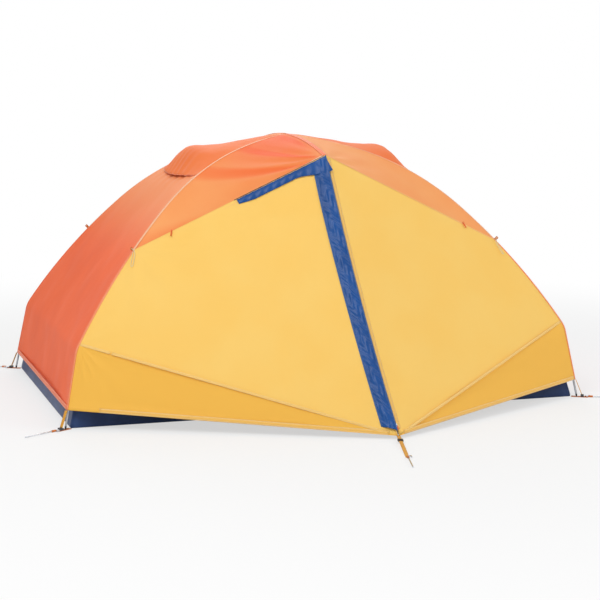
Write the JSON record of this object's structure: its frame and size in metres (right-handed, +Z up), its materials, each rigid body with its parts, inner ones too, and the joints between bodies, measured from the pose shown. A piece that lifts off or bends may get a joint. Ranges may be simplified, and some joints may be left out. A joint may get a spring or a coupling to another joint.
{
  "type": "dome tent",
  "caption": "Dome tent on crossed bent poles: inner tent hung on clips under a flysheet with a vestibule on each long side, vents at both ends, zipped doors and pegs",
  "frame": {"origin": "on the ground under the peak, at the middle of the floor", "axes": "+Z up, +X along the length of the floor, -Y towards the front vestibule"},
  "size_m": [2.635, 3.347, 1.1453],
  "materials": {
    "pole_aluminium": "anodised satin",
    "insert_aluminium": "satin",
    "black_plastic": "moulded",
    "black_elastic": "braided elastic",
    "blue_floor": "coated nylon",
    "cream_nylon": "breathable nylon",
    "white_mesh": "knitted mesh",
    "door_mesh": "mesh and nylon",
    "orange_webbing": "woven webbing",
    "grommet_brass": "nickel plated",
    "orange_fly": "coated taffeta",
    "pale_orange_fly": "coated taffeta",
    "prop_plastic": "moulded",
    "yellow_fly": "coated taffeta",
    "blue_taffeta": "shiny taffeta",
    "zip_coil": "nylon coil",
    "zip_metal": "plated",
    "orange_plastic": "moulded",
    "yellow_webbing": "woven webbing",
    "grey_plastic": "moulded",
    "peg_alloy": "polished rod",
    "guy_cord": "braided cord"
  },
  "bodies": {
    "tent": {"pole_a": "pole_aluminium", "pole_b": "pole_aluminium", "brow_pole": "pole_aluminium", "pole_ferrules": "insert_aluminium", "pole_tips": "black_plastic", "shock_cords": "black_elastic", "crossing_hub": "black_plastic", "pole_clips": "black_plastic", "floor_tub": "blue_floor", "inner_end_left": "cream_nylon", "inner_end_right": "cream_nylon", "inner_roof": "white_mesh", "inner_side_front": "cream_nylon", "inner_side_back": "cream_nylon", "corner_tabs": "orange_webbing", "grommets": "grommet_brass", "fly_end_left": "orange_fly", "fly_end_right": "orange_fly", "fly_roof_front": "pale_orange_fly", "fly_roof_back": "pale_orange_fly", "vent_hood_left": "pale_orange_fly", "vent_hood_right": "pale_orange_fly", "vent_mesh": "white_mesh", "vestibule_front": "yellow_fly", "vestibule_back": "yellow_fly", "door_gusset_front": "yellow_fly", "door_gusset_back": "yellow_fly", "zip_front": "zip_coil", "zip_back": "zip_coil", "tieback_toggles": "orange_plastic", "guy_tabs": "orange_webbing", "fly_straps": "yellow_webbing", "fly_buckles": "grey_plastic", "peg_loops": "orange_webbing", "vestibule_straps": "yellow_webbing", "guy_cord_front_left": "guy_cord", "guy_cord_front_right": "guy_cord", "guy_cord_back_left": "guy_cord", "guy_cord_back_right": "guy_cord"},
    "fly_door_front": {"fly_door_front": "yellow_fly", "storm_flap_front": "blue_taffeta"},
    "fly_door_back": {"fly_door_back": "yellow_fly", "storm_flap_back": "blue_taffeta"},
    "zip_slider_front": {"zip_slider_front": "zip_metal"},
    "zip_slider_back": {"zip_slider_back": "zip_metal"},
    "zip_pull_front": {"zip_pull_front": "orange_plastic"},
    "zip_pull_back": {"zip_pull_back": "orange_plastic"},
    "inner_door_front": {"inner_door_front": "door_mesh"},
    "inner_door_back": {"inner_door_back": "door_mesh"},
    "vent_prop_left": {"vent_prop_left": "prop_plastic"},
    "vent_prop_right": {"vent_prop_right": "prop_plastic"},
    "ladder_lock_front": {"ladder_lock_front": "grey_plastic"},
    "ladder_lock_back": {"ladder_lock_back": "grey_plastic"},
    "peg_front_left": {"peg_front_left": "peg_alloy"},
    "peg_front_right": {"peg_front_right": "peg_alloy"},
    "peg_back_left": {"peg_back_left": "peg_alloy"},
    "peg_back_right": {"peg_back_right": "peg_alloy"},
    "peg_door_front": {"peg_door_front": "peg_alloy"},
    "peg_door_back": {"peg_door_back": "peg_alloy"}
  },
  "joints": [
    {"name": "fly_door_front_fold", "type": "hinge", "parent": "tent", "child": "fly_door_front", "pos_m": [-0.96028, -0.71095, 0.30599], "axis": [-0.6659, -0.1467, -0.7315], "range_deg": [0, 110]},
    {"name": "fly_door_back_fold", "type": "hinge", "parent": "tent", "child": "fly_door_back", "pos_m": [0.96028, 0.71095, 0.30599], "axis": [0.6659, 0.1467, -0.7315], "range_deg": [0, 110]},
    {"name": "zip_slider_front_travel", "type": "hinge", "parent": "tent", "child": "zip_slider_front", "pos_m": [0.80186, -7.5632, 4.88138], "axis": [0.9935, 0.1136, 0], "range_deg": [0, 8.3]},
    {"name": "zip_slider_back_travel", "type": "hinge", "parent": "tent", "child": "zip_slider_back", "pos_m": [-0.80186, 7.5632, 4.88138], "axis": [-0.9935, -0.1136, 0], "range_deg": [0, 8.3]},
    {"name": "zip_pull_front_swing", "type": "hinge", "parent": "zip_slider_front", "child": "zip_pull_front", "pos_m": [0.0757, -1.21391, 0.05139], "axis": [-0.9935, -0.1136, 0], "range_deg": [0, 20]},
    {"name": "zip_pull_back_swing", "type": "hinge", "parent": "zip_slider_back", "child": "zip_pull_back", "pos_m": [-0.0757, 1.21391, 0.05139], "axis": [0.9935, 0.1136, 0], "range_deg": [0, 20]},
    {"name": "inner_door_front_swing", "type": "hinge", "parent": "tent", "child": "inner_door_front", "pos_m": [-0.37935, -0.65216, 0.19017], "axis": [0, 0.1472, 0.9891], "range_deg": [0, 100]},
    {"name": "inner_door_back_swing", "type": "hinge", "parent": "tent", "child": "inner_door_back", "pos_m": [0.37935, 0.65216, 0.19017], "axis": [0, -0.1472, 0.9891], "range_deg": [0, 100]},
    {"name": "vent_prop_left_swing", "type": "hinge", "parent": "tent", "child": "vent_prop_left", "pos_m": [-0.49816, 0, 1.02304], "axis": [0, 1, 0], "range_deg": [0, 33]},
    {"name": "vent_prop_right_swing", "type": "hinge", "parent": "tent", "child": "vent_prop_right", "pos_m": [0.49816, 0, 1.02304], "axis": [0, -1, 0], "range_deg": [0, 33]},
    {"name": "ladder_lock_front_travel", "type": "slide", "parent": "tent", "child": "ladder_lock_front", "axis": [-0.2586, -0.9651, -0.0417], "range_m": [0, 0.15]},
    {"name": "ladder_lock_back_travel", "type": "slide", "parent": "tent", "child": "ladder_lock_back", "axis": [0.2586, 0.9651, -0.0417], "range_m": [0, 0.15]},
    {"name": "peg_front_left_twist", "type": "hinge", "parent": "tent", "child": "peg_front_left", "pos_m": [-1.18867, -0.72063, 0.0046], "axis": [-0.8551, -0.5184, 0], "range_deg": [0, 180]},
    {"name": "peg_front_right_twist", "type": "hinge", "parent": "tent", "child": "peg_front_right", "pos_m": [1.18867, -0.72063, 0.0046], "axis": [0.8551, -0.5184, 0], "range_deg": [0, 180]},
    {"name": "peg_back_left_twist", "type": "hinge", "parent": "tent", "child": "peg_back_left", "pos_m": [-1.18867, 0.72063, 0.0046], "axis": [-0.8551, 0.5184, 0], "range_deg": [0, 180]},
    {"name": "peg_back_right_twist", "type": "hinge", "parent": "tent", "child": "peg_back_right", "pos_m": [1.18867, 0.72063, 0.0046], "axis": [0.8551, 0.5184, 0], "range_deg": [0, 180]},
    {"name": "peg_door_front_twist", "type": "hinge", "parent": "tent", "child": "peg_door_front", "pos_m": [-0.00094, -1.52861, 0.0046], "axis": [-0.2588, -0.9659, 0], "range_deg": [0, 180]},
    {"name": "peg_door_back_twist", "type": "hinge", "parent": "tent", "child": "peg_door_back", "pos_m": [0.00094, 1.52861, 0.0046], "axis": [0.2588, 0.9659, 0], "range_deg": [0, 180]}
  ]
}
